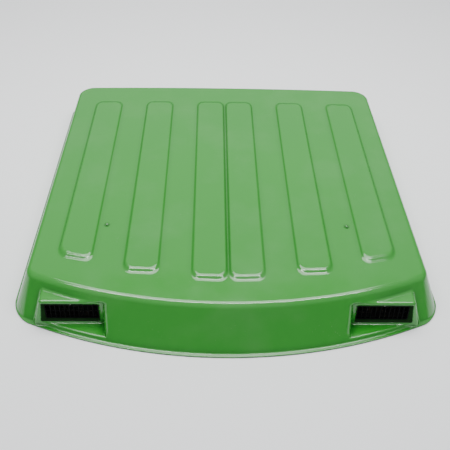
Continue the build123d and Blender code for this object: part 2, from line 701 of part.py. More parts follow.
def all_parts():
    parts = {"roof_shell": roof_shell(), "rim_seal": rim_seal()}
    intake = {"intake_housing": housing(), "intake_filter": filter_element(),
              "intake_grille": in_pod_frame(grille()),
              "intake_gasket": in_pod_frame(gasket()),
              "intake_screws": in_pod_frame(grille_screws())}
    for name, part in intake.items():
        parts[f"{name}_right"] = part
        parts[f"{name}_left"] = mirror_x(part)
    for name, y in CROSS_Y.items():
        parts[f"{name}_cross_member"] = cross_member(y)
    for name, side in SIDES.items():
        parts[f"side_rail_{name}"] = side_rail(side)
        for place, y in zip(("front", "rear"), MOUNT_Y):
            parts[f"mount_bracket_{place}_{name}"] = mount_bracket(side, y)
    for name, (y_low, y_high) in foam_bays().items():
        parts[f"insulation_{name}"] = foam_pad(y_low, y_high)
    groups = [gusset_plates, gusset_rivets, mount_bushes, mount_sleeves, bracket_bolts, bracket_nuts,
              skin_bolts, skin_bolt_washers, skin_bolt_spacers, skin_bolt_nuts]
    for group in groups:
        parts[group.__name__] = group()
    return parts


os.makedirs("parts", exist_ok=True)
for node, part in all_parts().items():
    export_step(part, f"parts/{node}.step")
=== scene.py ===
import math

import bmesh
import bpy
import numpy as np
from mathutils import Matrix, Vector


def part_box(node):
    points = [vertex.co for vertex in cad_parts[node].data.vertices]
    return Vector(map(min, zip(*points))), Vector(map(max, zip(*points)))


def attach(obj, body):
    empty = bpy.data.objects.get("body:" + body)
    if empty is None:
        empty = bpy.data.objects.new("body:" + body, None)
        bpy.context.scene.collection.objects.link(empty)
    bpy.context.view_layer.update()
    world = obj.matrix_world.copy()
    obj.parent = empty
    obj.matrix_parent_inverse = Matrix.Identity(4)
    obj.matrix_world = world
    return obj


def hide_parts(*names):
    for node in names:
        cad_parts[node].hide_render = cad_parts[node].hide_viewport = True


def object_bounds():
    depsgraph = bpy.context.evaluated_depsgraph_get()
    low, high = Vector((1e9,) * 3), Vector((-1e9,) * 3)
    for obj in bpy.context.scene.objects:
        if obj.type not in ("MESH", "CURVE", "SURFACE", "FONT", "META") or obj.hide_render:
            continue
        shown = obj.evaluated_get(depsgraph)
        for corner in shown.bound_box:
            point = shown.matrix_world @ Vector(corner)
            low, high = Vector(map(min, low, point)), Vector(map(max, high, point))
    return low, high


# Tractor cab roof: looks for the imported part. Metres, X right, Y to the rear, Z up.

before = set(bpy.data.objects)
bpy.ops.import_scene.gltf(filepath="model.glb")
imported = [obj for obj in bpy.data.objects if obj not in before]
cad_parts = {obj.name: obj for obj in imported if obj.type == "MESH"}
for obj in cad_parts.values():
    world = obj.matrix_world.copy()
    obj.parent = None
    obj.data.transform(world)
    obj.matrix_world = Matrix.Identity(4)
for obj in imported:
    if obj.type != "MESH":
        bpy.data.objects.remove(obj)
cad_low, cad_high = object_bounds()

# ---- the moulded skin's driving sizes ----
_, shell_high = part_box("roof_shell")
HALF_WIDTH = shell_high.x
HALF_LENGTH = shell_high.y
RIB_HEIGHT = 0.0095
CROWN = 0.010
TOP_Z = shell_high.z - RIB_HEIGHT
EDGE_HEIGHT = TOP_Z - CROWN
WALL = 0.004
FRONT_LIP = 0.010
SIDE_LIP = 0.004
LIP_CORNER_R = 0.072
LIP_THICK = 0.005
BOW_RADIUS = 1.825
SIDE_RUN, FRONT_RUN, REAR_RUN = 0.056, 0.092, 0.032
FRONT_CORNER_R = 0.045        # at the foot
FRONT_CORNER_TOP_R = 0.026
REAR_CORNER_R = 0.065
TOP_EDGE_R = 0.013
LIP_ROOT_R = 0.003
LIP_EDGE_R = 0.0015

RIB_HALF = 0.0635
RIB_REAR_Y = 0.599
RIB_CORNER_R = 0.026
RIB_EDGE_R = 0.0055
RIB_ROOT_R = 0.006
RIB_DRAFT = math.tan(math.radians(25))
RIB_END_DRAFT = math.tan(math.radians(50))
RIBS = [(0.0675, -0.558, 0.04), (0.311, -0.524, 0.08), (0.555, -0.454, 0.26)]  # centre X, front Y, slant

POD_TOP = 0.112
POD_FRONT_Y = -0.630
POD_RAKE = math.radians(8)
POD_INNER_X, POD_START_X, POD_OUTER_X = 0.447, 0.407, 0.690
POD_OUTER_RUN = 0.032
POD_BACK_Y = -0.440
POD_POST_R = 0.012
POD_BROW_R = 0.008
POD_ROOT_R = 0.006
LEDGE_HEIGHT = 0.016
NICHE_SPLAY, NICHE_DRAFT = 0.3, 0.15
NICHE_INNER_R = 0.012        # the long rounded edge between the niche and the fascia
NICHE_EDGE_R = 0.0025
NICHE_ROOT_R = 0.004
NICHE_FADE_X = 0.020         # the long edge's radius grows over this width
NICHE_FADE_LOW, NICHE_FADE_Z = 0.004, 0.012    # and, from this far above the ledge, over this height

OPENING_X, OPENING_Z = 0.550, 0.057
OPENING_HALF_W, OPENING_HALF_H = 0.094, 0.032
RECESS_DEPTH = 0.012
RECESS_INNER, RECESS_OUTER_TOP, RECESS_OUTER_FOOT = 0.005, 0.007, 0.018
RECESS_TOP, RECESS_FOOT = 0.015, 0.006
RECESS_CORNER_R = 0.005
RECESS_EDGE_R = 0.0015
WINDOW_DEPTH = 0.016         # the tunnel is cut off here, where the gasket starts
TUNNEL_DEPTH = 0.030

GLUE = 0.0005                # gap under the skin for the seal and pads
SEAL_LOW, SEAL_HIGH = 0.001, 0.011
SEAL_BULB_MIDDLE, SEAL_BULB_R = 0.0060, 0.0048
SEAL_BULB_SHARE, SEAL_FOOT_SHARE = 0.46, 0.42    # half heights, as shares of the seal's height
SEAL_BULB_TURN, SEAL_BULB_STEP = 135, 15         # degrees each side of straight inward, and between points
SEAL_RINGS = 900
PAD_THICK = 0.012
PAD_EDGE_R = 0.006
PAD_CORNER_R = 0.022
PAD_PITCH = 0.030            # egg-crate underside
PAD_HOLLOW = 0.005

EASED_EDGE = 0.0004          # bevel on the fasteners, the frame and the ducts
EASED_ANGLE = math.radians(32)
FLOOR_GAP = 0.0005
FLOOR_HALF = 14.0

# ---- how closely the pieces are meshed ----
FINE, WIDE = 0.0024, 0.012   # spacing at the ribs' edges and on the flats
RIB_ZONE = 0.014             # half width of the fine stretch along a rib's edge
SIDE_ZONE_X, SIDE_STEP = 0.670, 0.0032
SHOULDER_STEP = 0.004        # from the outer ribs to the side zone
FRONT_ZONE_Y, POD_ZONE_Y, FRONT_STEP = -0.600, -0.430, 0.0032
MIDDLE_STEP = 0.020
REAR_ZONE_Y, REAR_STEP = 0.700, 0.0035
FOOT_ZONE_Z, FOOT_STEP = 0.020, 0.0022
WALL_STEP = 0.0035
SIDE_MARGIN, END_MARGIN = 0.006, 0.008    # room left round the skin
SLOPE_STEP = 2e-4
SETTLE_ROUNDS, SETTLE_MOVE = 5, 0.002     # steps towards the surface and the longest one
SETTLE_FLAT = 0.05           # a squared slope is never taken as less
RIM_LEVEL = 1e-5             # the open edges below this height are the rim's
RIM_SAMPLES = 8              # directions tried for each point of a rim ring
RIM_HALVINGS = 40            # of the reach that holds the rim, in each direction
PAD_STEP, PAD_RIM_STEP = 0.00375, 0.0015
PAD_WELD = 1e-5

CELL_CORNERS = [np.array(corner) for corner in np.ndindex(2, 2, 2)]
ROOF_FACE, INSIDE_FACE, RECESS_FACE, EDGE_FACE = range(4)

# ---- worked out from those ----
BOW_Y = BOW_RADIUS - HALF_LENGTH
BASE_X = HALF_WIDTH - SIDE_LIP
BASE_Y = HALF_LENGTH - SIDE_LIP
TOP_HALF = BASE_X - SIDE_RUN
CROWN_R = (TOP_HALF**2 + CROWN**2) / (2 * CROWN)
CROWN_Z = TOP_Z - CROWN_R


# ---------------------------------------------------------------- shaping the skin

def round_max(a, b, radius):
    """Where two solids meet, with the outer edge rounded."""
    sharp = np.minimum(np.maximum(a, b), -radius)
    return sharp + np.hypot(np.maximum(a + radius, 0), np.maximum(b + radius, 0))


def round_min(a, b, radius):
    """Two solids joined, with the inner corner filled by a fillet."""
    return -round_max(-a, -b, radius)


def leaning(distance, run, height):
    """Turn a horizontal distance from a leaning wall into one square to it."""
    return distance * height / math.hypot(run, height)


def under_crown(x, z, lift):
    """Below zero under the crowned top, raised by lift."""
    return np.hypot(x, z - CROWN_Z) - CROWN_R - lift


def bow(x, y, radius):
    """Below zero behind the bowed front, which is an arc seen from above."""
    return np.hypot(x, y - BOW_Y) - radius


def block(x, y, z):
    """The roof between its leaning walls."""
    rise = z / EDGE_HEIGHT
    side = leaning(x - BASE_X + SIDE_RUN * rise, SIDE_RUN, EDGE_HEIGHT)
    rear = leaning(y - BASE_Y + REAR_RUN * rise, REAR_RUN, EDGE_HEIGHT)
    front = leaning(bow(x, y, BOW_RADIUS - FRONT_LIP - FRONT_RUN * rise), FRONT_RUN, EDGE_HEIGHT)
    corner = FRONT_CORNER_R + (FRONT_CORNER_TOP_R - FRONT_CORNER_R) * np.clip(rise, 0, 1)
    walls = round_max(round_max(side, front, corner), rear, REAR_CORNER_R)
    return round_max(walls, under_crown(x, z, 0), TOP_EDGE_R)


def rib(x, y, z, centre, front_y, slant):
    """Raised rib with leaning sides, round corners and a front end that may run at a slant."""
    depth = CROWN_Z + math.sqrt(CROWN_R**2 - centre**2) - z
    across = leaning(abs(x - centre) - RIB_HALF - depth * RIB_DRAFT, RIB_DRAFT, 1)
    rear = leaning(y - RIB_REAR_Y - depth * RIB_END_DRAFT, RIB_END_DRAFT, 1)
    front_line = front_y + slant * (x - centre) - depth * RIB_END_DRAFT
    front = leaning(front_line - y, math.hypot(RIB_END_DRAFT, slant), 1)
    outline = round_max(round_max(across, rear, RIB_CORNER_R), front, RIB_CORNER_R)
    return round_max(outline, under_crown(x, z, RIB_HEIGHT), RIB_EDGE_R)


def pod_face(y, z):
    """How far a point is in front of the raked intake face."""
    return (POD_FRONT_Y - (POD_TOP - z) * math.tan(POD_RAKE) - y) * math.cos(POD_RAKE)


def pod(x, y, z):
    """Box that carries one intake."""
    outer = leaning(x - POD_OUTER_X + POD_OUTER_RUN * z / POD_TOP, POD_OUTER_RUN, POD_TOP)
    post = round_max(pod_face(y, z), outer, POD_POST_R)
    shown = round_max(post, z - POD_TOP, POD_BROW_R)
    return np.maximum(shown, np.maximum(POD_START_X - x, y - POD_BACK_Y))


def niche(x, y, z):
    """Room in front of the intake: its face behind, the ledge below, the splayed wall at the inner end."""
    inner = POD_INNER_X - NICHE_SPLAY * (POD_FRONT_Y - y) - NICHE_DRAFT * (z - LEDGE_HEIGHT) - x
    corner = round_max(-pod_face(y, z), inner, NICHE_ROOT_R)
    return round_max(round_max(corner, LEDGE_HEIGHT - z, NICHE_ROOT_R), z - POD_TOP, NICHE_EDGE_R)


def niche_edge(x, z):
    """The niche's edges are tight, except the tall one at its inner end."""
    near = np.clip((POD_INNER_X + NICHE_FADE_X - x) / NICHE_FADE_X, 0, 1)
    above = np.clip((z - LEDGE_HEIGHT - NICHE_FADE_LOW) / NICHE_FADE_Z, 0, 1)
    return NICHE_EDGE_R + (NICHE_INNER_R - NICHE_EDGE_R) * near * above


def opening_axes(y, z):
    """Depth into the intake face and height up it, from the middle of the opening."""
    front_y = POD_FRONT_Y - (POD_TOP - OPENING_Z) * math.tan(POD_RAKE)
    dy, dz = y - front_y, z - OPENING_Z
    cos, sin = math.cos(POD_RAKE), math.sin(POD_RAKE)
    return dy * cos - dz * sin, dy * sin + dz * cos


def opening(x, y, z):
    """Tapered recess that ends in the straight window of the grille."""
    depth, up = opening_axes(y, z)
    across = x - OPENING_X
    taper = np.clip(1 - depth / RECESS_DEPTH, 0, 2)
    share = np.clip((up + OPENING_HALF_H) / (2 * OPENING_HALF_H), 0, 1)
    outer = OPENING_HALF_W + taper * (RECESS_OUTER_FOOT + (RECESS_OUTER_TOP - RECESS_OUTER_FOOT) * share)
    sides = np.maximum(across - outer, -across - OPENING_HALF_W - RECESS_INNER * taper)
    ends = np.maximum(up - OPENING_HALF_H - RECESS_TOP * taper, -up - OPENING_HALF_H - RECESS_FOOT * taper)
    length = np.maximum(depth - TUNNEL_DEPTH, -depth - 2 * RECESS_DEPTH)
    return np.maximum(round_max(sides, ends, RECESS_CORNER_R), length)


def lip(x, y, z):
    """Thin flat lip round the foot."""
    outline = round_max(x - HALF_WIDTH, bow(x, y, BOW_RADIUS), LIP_CORNER_R)
    outline = round_max(outline, y - HALF_LENGTH, REAR_CORNER_R + SIDE_LIP)
    return round_max(outline, z - LIP_THICK, LIP_EDGE_R)


def inside_skin(x, y, z):
    """Below zero inside the roof, taken as a solid block without its lip. Both halves are alike."""
    x = abs(x)
    solid = block(x, y, z)
    for one in RIBS:
        solid = round_min(solid, rib(x, y, z, *one), RIB_ROOT_R)
    solid = round_min(solid, pod(x, y, z), POD_ROOT_R)
    solid = round_max(solid, -niche(x, y, z), niche_edge(x, z))
    return round_max(solid, -opening(x, y, z), RECESS_EDGE_R)


def outer_surface(x, y, z):
    """Below zero inside the roof and its lip."""
    return round_min(inside_skin(x, y, z), lip(abs(x), y, z), LIP_ROOT_R)


def inner_surface(x, y, z):
    """Below zero in the hollow under the skin, one wall's thickness further in."""
    return inside_skin(x, y, z) + WALL


# ---------------------------------------------------------------- meshing the skin

def lines(stretches):
    """Grid lines from (start, end, spacing) stretches that follow on from each other."""
    values = [np.linspace(a, b, max(round((b - a) / step), 1), endpoint=False) for a, b, step in stretches]
    return np.append(np.concatenate(values), stretches[-1][1])


def grid_axes():
    """Close lines where the shape turns, wide ones on the flats."""
    across, last = [], 0.0
    for centre, _, _ in RIBS:
        for side_x in (centre - RIB_HALF, centre + RIB_HALF):
            low, high = max(side_x - RIB_ZONE, last), side_x + RIB_ZONE
            if low > last:
                across.append((last, low, WIDE))
            across.append((low, high, FINE))
            last = high
    across.append((last, SIDE_ZONE_X, SHOULDER_STEP))
    across.append((SIDE_ZONE_X, HALF_WIDTH + SIDE_MARGIN, SIDE_STEP))
    right = lines(across)
    along = [(-HALF_LENGTH - END_MARGIN, FRONT_ZONE_Y, FRONT_STEP),
             (FRONT_ZONE_Y, POD_ZONE_Y, FRONT_STEP),
             (POD_ZONE_Y, RIB_REAR_Y - RIB_ZONE, MIDDLE_STEP),
             (RIB_REAR_Y - RIB_ZONE, RIB_REAR_Y + RIB_ZONE, FINE),
             (RIB_REAR_Y + RIB_ZONE, REAR_ZONE_Y, WIDE),
             (REAR_ZONE_Y, HALF_LENGTH + END_MARGIN, REAR_STEP)]
    up = [(-SIDE_MARGIN, FOOT_ZONE_Z, FOOT_STEP),
          (FOOT_ZONE_Z, POD_TOP, WALL_STEP),
          (POD_TOP, shell_high.z + SIDE_MARGIN, FINE)]
    return [np.concatenate([-right[:0:-1], right]), lines(along), lines(up)]


def cell_points(field, axes, cells):
    """For each cell, the middle of the places where the zero level crosses its edges."""
    total = np.zeros((len(cells), 3))
    hits = np.zeros((len(cells), 1))
    for start in CELL_CORNERS:
        for axis in range(3):
            if start[axis]:
                continue
            end = start + np.eye(3, dtype=int)[axis]
            first = field[tuple((cells + start).T)]
            second = field[tuple((cells + end).T)]
            cut = ((first < 0) != (second < 0))[:, None]
            share = first / np.where(first == second, 1, first - second)
            points = [np.stack([axes[d][cells[:, d] + at[d]] for d in range(3)], 1) for at in (start, end)]
            total += cut * (points[0] + share[:, None] * (points[1] - points[0]))
            hits += cut
    return total / hits


def cell_quads(inside, number):
    """A quad round each grid edge that crosses the surface, from the numbers of the four cells there."""
    cells_in = number.shape
    quads = []
    for axis in range(3):
        u, v = np.eye(3, dtype=int)[[(axis + 1) % 3, (axis + 2) % 3]]
        lower = np.take(inside, range(cells_in[axis]), axis)
        upper = np.take(inside, range(1, cells_in[axis] + 1), axis)
        for leaving in (True, False):
            edges = np.argwhere((lower == leaving) & (upper != leaving))
            kept = np.all((edges - u - v >= 0) & (edges < cells_in), 1)
            around = [edges[kept] - u - v, edges[kept] - v, edges[kept], edges[kept] - u]
            ring = np.stack([number[tuple(cell.T)] for cell in around], 1)
            quads.append(ring if leaving else ring[:, ::-1])
    return np.concatenate(quads)


def surface_net(field, axes):
    """Quads over the zero level of a grid of values, with one point in each cell that it crosses."""
    wide, deep, high = (len(axis) - 1 for axis in axes)
    inside = field < 0
    count = sum(inside[i:i + wide, j:j + deep, k:k + high].astype(np.int8) for i, j, k in CELL_CORNERS)
    crossed = (count > 0) & (count < len(CELL_CORNERS))
    cells = np.argwhere(crossed)
    number = np.full(crossed.shape, -1)
    number[crossed] = np.arange(len(cells))
    return cell_points(field, axes, cells), cell_quads(inside, number)


def slope(shape, points):
    """Direction in which the shape's value grows, at each point."""
    columns = []
    for axis in np.eye(3) * SLOPE_STEP:
        columns.append((shape(*(points + axis).T) - shape(*(points - axis).T)) / (2 * SLOPE_STEP))
    return np.stack(columns, 1)


def settle(shape, points, keep=None):
    """Move points onto the shape's surface. keep is a direction in which they must not move."""
    for _ in range(SETTLE_ROUNDS):
        grow = slope(shape, points)
        if keep is not None:
            grow -= np.outer(grow @ keep, keep)
        size = np.maximum((grow**2).sum(1), SETTLE_FLAT)
        move = grow * (shape(*points.T) / size)[:, None]
        points = points - np.clip(move, -SETTLE_MOVE, SETTLE_MOVE)
    return points


def in_tunnel(points):
    """How far each point is past the window's end, below zero elsewhere."""
    x, y, z = points.T
    depth, up = opening_axes(y, z)
    reach = OPENING_HALF_W + 2 * WALL, OPENING_HALF_H + 2 * WALL
    near = (abs(abs(x) - OPENING_X) < reach[0]) & (abs(up) < reach[1]) & (depth < TUNNEL_DEPTH + 3 * WALL)
    return np.where(near, depth - WINDOW_DEPTH, -1.0)


def trimmed(shape, points, quads, past, square_to):
    """Cut the surface off at a plane. Faces beyond it go, and the row of points across it moves onto it."""
    distance = past(points)
    beyond = distance > 0
    quads = quads[~beyond[quads].all(1)]
    moved = points[beyond] - np.outer(distance[beyond], square_to)
    points = points.copy()
    points[beyond] = settle(shape, moved, square_to)
    return points, quads


def skin_surface(shape, axes):
    """Points, quads and outward directions of one surface, cut off at the foot and at each window."""
    x, y, z = axes
    field = shape(x[:, None, None], y[None, :, None], z[None, None, :])
    points, quads = surface_net(field, axes)
    points = settle(shape, points)
    points, quads = trimmed(shape, points, quads, lambda p: -p[:, 2], np.array([0.0, 0.0, -1.0]))
    inward = np.array([0.0, math.cos(POD_RAKE), -math.sin(POD_RAKE)])
    points, quads = trimmed(shape, points, quads, in_tunnel, inward)
    used, quads = np.unique(quads, return_inverse=True)
    points = points[used]
    grow = slope(shape, points)
    return points, quads.reshape(-1, 4), grow / np.linalg.norm(grow, axis=1)[:, None]


def added(name, data):
    """New object in the scene, made from a mesh, lamp or camera."""
    made = bpy.data.objects.new(name, data)
    bpy.context.scene.collection.objects.link(made)
    return made


def smooth_mesh(name, points, faces, normals, slots):
    """Mesh with a given normal at each point. An edge face keeps its own flat normal and the roof's look."""
    mesh = bpy.data.meshes.new(name)
    mesh.from_pydata(points.tolist(), [], faces)
    looks = np.where(slots == EDGE_FACE, ROOF_FACE, slots).astype(np.int32)
    mesh.polygons.foreach_set("material_index", looks)
    mesh.shade_smooth()
    corner_points = np.zeros(len(mesh.loops), np.int32)
    mesh.loops.foreach_get("vertex_index", corner_points)
    wanted = normals[corner_points]
    own = np.zeros(len(mesh.polygons) * 3, np.float32)
    mesh.polygons.foreach_get("normal", own)
    lengths = np.zeros(len(mesh.polygons), np.int32)
    mesh.polygons.foreach_get("loop_total", lengths)
    flat = np.repeat(slots == EDGE_FACE, lengths)
    wanted[flat] = np.repeat(own.reshape(-1, 3), lengths, 0)[flat]
    mesh.normals_split_custom_set(wanted.tolist())
    return mesh


def in_recess(points):
    """True for the points that lie on the walls of an intake recess."""
    x, y, z = points.T
    depth, _ = opening_axes(y, z)
    return (opening(abs(x), y, z) < WALL / 2) & (depth > RECESS_EDGE_R) & (depth < TUNNEL_DEPTH)


def closing_faces(points, faces):
    """Flat strips that join the outer and inner surfaces along the rim and round each window."""
    bm = bmesh.new()
    verts = [bm.verts.new(p) for p in points]
    for face in faces:
        bm.faces.new([verts[i] for i in face])
    bm.verts.index_update()
    open_edges = [edge for edge in bm.edges if edge.is_boundary]
    loops = [lambda p: p.z < RIM_LEVEL,
             lambda p: p.z > RIM_LEVEL and p.x < 0,
             lambda p: p.z > RIM_LEVEL and p.x > 0]
    strips = []
    for belongs in loops:
        edges = [edge for edge in open_edges if all(belongs(v.co) for v in edge.verts)]
        made = bmesh.ops.triangle_fill(bm, edges=edges, use_beauty=True)["geom"]
        strips += [[v.index for v in face.verts] for face in made if isinstance(face, bmesh.types.BMFace)]
    bm.free()
    return strips


def make_skin():
    """The green moulding: outer surface, inner surface and the narrow faces that join them."""
    axes = grid_axes()
    outer_points, outer_quads, outer_normals = skin_surface(outer_surface, axes)
    inner_points, inner_quads, inner_normals = skin_surface(inner_surface, axes)
    points = np.concatenate([outer_points, inner_points])
    normals = np.concatenate([outer_normals, -inner_normals])
    faces = outer_quads.tolist() + (inner_quads[:, ::-1] + len(outer_points)).tolist()
    strips = closing_faces(points, faces)
    slots = np.repeat([ROOF_FACE, INSIDE_FACE, EDGE_FACE], [len(outer_quads), len(inner_quads), len(strips)])
    # The recess walls get the material with painted shade.
    slots[:len(outer_quads)][in_recess(outer_points[outer_quads].mean(1))] = RECESS_FACE
    return added("roof_skin", smooth_mesh("roof_skin", points, faces + strips, normals, slots))


# ---------------------------------------------------------------- rim seal and foam pads

def rim_paths(inset, heights, count):
    """Rings of points inside the rim, one for each height, inset from the outer face and evenly spaced."""
    angles = np.linspace(0, 2 * math.pi, RIM_SAMPLES * count, endpoint=False)
    across, along = np.cos(angles), np.sin(angles)
    rings = []
    for height in heights:
        near, far = np.zeros(len(angles)), np.full(len(angles), 2 * HALF_LENGTH)
        for _ in range(RIM_HALVINGS):
            middle = (near + far) / 2
            inside = block(abs(middle * across), middle * along, height) < -inset
            near, far = np.where(inside, middle, near), np.where(inside, far, middle)
        rings.append(np.stack([near * across, near * along, np.full(len(angles), height)], 1))
    steps = np.linalg.norm(np.roll(rings[0], -1, 0) - rings[0], axis=1)
    travelled = np.append(0, np.cumsum(steps))
    wanted = np.linspace(0, travelled[-1], count, endpoint=False)
    chosen = np.searchsorted(travelled, wanted).clip(0, len(angles) - 1)
    return [ring[chosen] for ring in rings]


def tube_faces(rings, around):
    """Quads of a closed tube: rings of around points each, the last ring joined to the first."""
    faces = []
    for ring in range(rings):
        for index in range(around):
            after, beside = (ring + 1) % rings, (index + 1) % around
            faces.append((ring * around + index, after * around + index,
                          after * around + beside, ring * around + beside))
    return faces


def make_rim_seal():
    """Bulb seal glued to the inside of the rim: a flat foot on the wall and a round bulb inward."""
    low, high = rim_paths(WALL + GLUE, (SEAL_LOW, SEAL_HIGH), SEAL_RINGS)
    ahead = np.roll(low, -1, 0) - np.roll(low, 1, 0)
    inward = np.stack([-ahead[:, 1], ahead[:, 0], np.zeros(len(ahead))], 1)
    inward /= np.linalg.norm(inward, axis=1)[:, None]
    turns = np.radians(np.arange(-SEAL_BULB_TURN, SEAL_BULB_TURN + 1, SEAL_BULB_STEP))
    reach = np.append(SEAL_BULB_MIDDLE + SEAL_BULB_R * np.cos(turns), [0, 0])
    share = np.append(0.5 + SEAL_BULB_SHARE * np.sin(turns), [0.5 + SEAL_FOOT_SHARE, 0.5 - SEAL_FOOT_SHARE])
    points = low[:, None] + share[:, None] * (high - low)[:, None] + reach[:, None] * inward[:, None]
    mesh = bpy.data.meshes.new("rim_seal_bulb")
    mesh.from_pydata(points.reshape(-1, 3).tolist(), [], tube_faces(SEAL_RINGS, len(reach)))
    mesh.shade_smooth()
    return added("rim_seal_bulb", mesh)


def rounded_outline(x, y, half_x, half_y, radius):
    """Pull a rectangle's grid points in so that its corners become round."""
    over_x, over_y = abs(x) - half_x + radius, abs(y) - half_y + radius
    corner = (over_x > 0) & (over_y > 0)
    size = np.hypot(over_x, over_y)
    pull = np.where(corner, np.maximum(over_x, over_y) / np.where(size > 0, size, 1), 1)
    moved_x = np.where(corner, np.sign(x) * (half_x - radius + over_x * pull), x)
    moved_y = np.where(corner, np.sign(y) * (half_y - radius + over_y * pull), y)
    return moved_x, moved_y


def pad_lines(half):
    """Grid lines across a pad, closer together at its rounded rim."""
    rim = 2.5 * PAD_EDGE_R
    return lines([(-half, rim - half, PAD_RIM_STEP), (rim - half, half - rim, PAD_STEP),
                  (half - rim, half, PAD_RIM_STEP)])


def closed_sheet(name, upper, lower, columns, rows):
    """Closed mesh between two grids of points that share their rim."""
    bm = bmesh.new()
    for points, flipped in ((upper, False), (lower, True)):
        verts = [bm.verts.new(p) for p in points]
        for i in range(columns - 1):
            for j in range(rows - 1):
                ring = [i * rows + j, (i + 1) * rows + j, (i + 1) * rows + j + 1, i * rows + j + 1]
                bm.faces.new([verts[k] for k in (reversed(ring) if flipped else ring)])
    bmesh.ops.remove_doubles(bm, verts=[v for v in bm.verts if v.is_boundary], dist=PAD_WELD)
    mesh = bpy.data.meshes.new(name)
    bm.to_mesh(mesh)
    bm.free()
    mesh.shade_smooth()
    return mesh


def make_pad(name, node):
    """Foam pad glued under the skin. It follows the crown, with a round rim and an egg-crate underside."""
    low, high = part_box(node)
    half_x, half_y, middle_y = high.x, (high.y - low.y) / 2, (high.y + low.y) / 2
    columns, rows = pad_lines(half_x), pad_lines(half_y)
    x, y = (grid.ravel() for grid in np.meshgrid(columns, rows, indexing="ij"))
    depth = np.clip(np.minimum(half_x - abs(x), half_y - abs(y)) / PAD_EDGE_R, 0, 1)
    x, y = rounded_outline(x, y, half_x, half_y, PAD_CORNER_R)
    half_thick = PAD_THICK / 2 * np.sqrt(1 - (1 - depth) ** 2)
    middle = CROWN_Z + np.sqrt((CROWN_R - WALL - GLUE) ** 2 - x**2) - PAD_THICK / 2
    wave = 2 * math.pi / PAD_PITCH
    fade = np.clip(np.minimum(half_x - abs(x), half_y - abs(y)) / (3 * PAD_EDGE_R) - 0.5, 0, 1)
    hollow = PAD_HOLLOW * fade * (0.5 + 0.5 * np.cos(wave * x) * np.cos(wave * y))
    upper = np.stack([x, y + middle_y, middle + half_thick], 1)
    lower = np.stack([x, y + middle_y, middle - half_thick + hollow], 1)
    return added(name, closed_sheet(name, upper, lower, len(columns), len(rows)))


# ---------------------------------------------------------------- materials

def map_range(nodes, low, high, to_low, to_high):
    """Node that stretches the range low..high to to_low..to_high."""
    node = nodes.new("ShaderNodeMapRange")
    for socket, number in zip(("From Min", "From Max", "To Min", "To Max"), (low, high, to_low, to_high)):
        node.inputs[socket].default_value = number
    return node


class Finish:
    """A Principled material and short names for the nodes that give it its detail."""

    def __init__(self, name, colour, roughness, **sockets):
        self.material = bpy.data.materials.new(name)
        self.material.use_nodes = True
        self.nodes = self.material.node_tree.nodes
        self.links = self.material.node_tree.links
        self.shader = self.nodes["Principled BSDF"]
        self.shader.inputs["Base Color"].default_value = (*colour, 1)
        self.shader.inputs["Roughness"].default_value = roughness
        for socket, value in sockets.items():
            self.shader.inputs[socket.replace("_", " ")].default_value = value
        self.place = self.nodes.new("ShaderNodeTexCoord").outputs["Object"]
        self.normal = None

    def noise(self, scale, detail=3.0, stretch=(1, 1, 1)):
        """Cloudy pattern from 0 to 1, with about scale patches to the metre."""
        mapping = self.nodes.new("ShaderNodeMapping")
        mapping.inputs["Scale"].default_value = stretch
        self.links.new(self.place, mapping.inputs["Vector"])
        noise = self.nodes.new("ShaderNodeTexNoise")
        noise.inputs["Scale"].default_value = scale
        noise.inputs["Detail"].default_value = detail
        self.links.new(mapping.outputs["Vector"], noise.inputs["Vector"])
        return noise.outputs["Fac"]

    def cells(self, scale, feature="F1"):
        """Distance from the middle of the nearest of the cells, about scale of them to the metre."""
        voronoi = self.nodes.new("ShaderNodeTexVoronoi")
        voronoi.feature = feature
        voronoi.inputs["Scale"].default_value = scale
        self.links.new(self.place, voronoi.inputs["Vector"])
        return voronoi.outputs["Distance"]

    def hollows(self, reach):
        """0 in the open, towards 1 down in corners where the surface within reach closes in."""
        shelter = self.nodes.new("ShaderNodeAmbientOcclusion")
        shelter.samples = 8
        shelter.inputs["Distance"].default_value = reach
        return self.spread(shelter.outputs["AO"], 1.0, 0.55)

    def spread(self, value, low, high, to_low=0.0, to_high=1.0):
        """Stretch a value's range low..high to to_low..to_high."""
        node = map_range(self.nodes, low, high, to_low, to_high)
        self.links.new(value, node.inputs["Value"])
        return node.outputs["Result"]

    def times(self, first, second):
        """Product of two values."""
        node = self.nodes.new("ShaderNodeMath")
        node.operation = "MULTIPLY"
        self.links.new(first, node.inputs[0])
        self.links.new(second, node.inputs[1])
        return node.outputs["Value"]

    def tint(self, share, colour):
        """Mix a colour over what the base colour is so far, by a share from 0 to 1."""
        mix = self.nodes.new("ShaderNodeMix")
        mix.data_type = "RGBA"
        base = self.shader.inputs["Base Color"]
        if base.is_linked:
            self.links.new(base.links[0].from_socket, mix.inputs["A"])
        else:
            mix.inputs["A"].default_value = base.default_value
        mix.inputs["B"].default_value = (*colour, 1)
        self.links.new(share, mix.inputs["Factor"])
        self.links.new(mix.outputs["Result"], base)

    def rough(self, value, low, high, to_low, to_high):
        """Let the roughness follow a value, stretched as spread does."""
        self.links.new(self.spread(value, low, high, to_low, to_high), self.shader.inputs["Roughness"])

    def bump(self, height, distance, strength=1.0):
        """Add relief, distance metres high, to what the surface has so far."""
        node = self.nodes.new("ShaderNodeBump")
        node.inputs["Distance"].default_value = distance
        node.inputs["Strength"].default_value = strength
        self.links.new(height, node.inputs["Height"])
        if self.normal:
            self.links.new(self.normal, node.inputs["Normal"])
        self.normal = node.outputs["Normal"]
        self.links.new(self.normal, self.shader.inputs["Normal"])


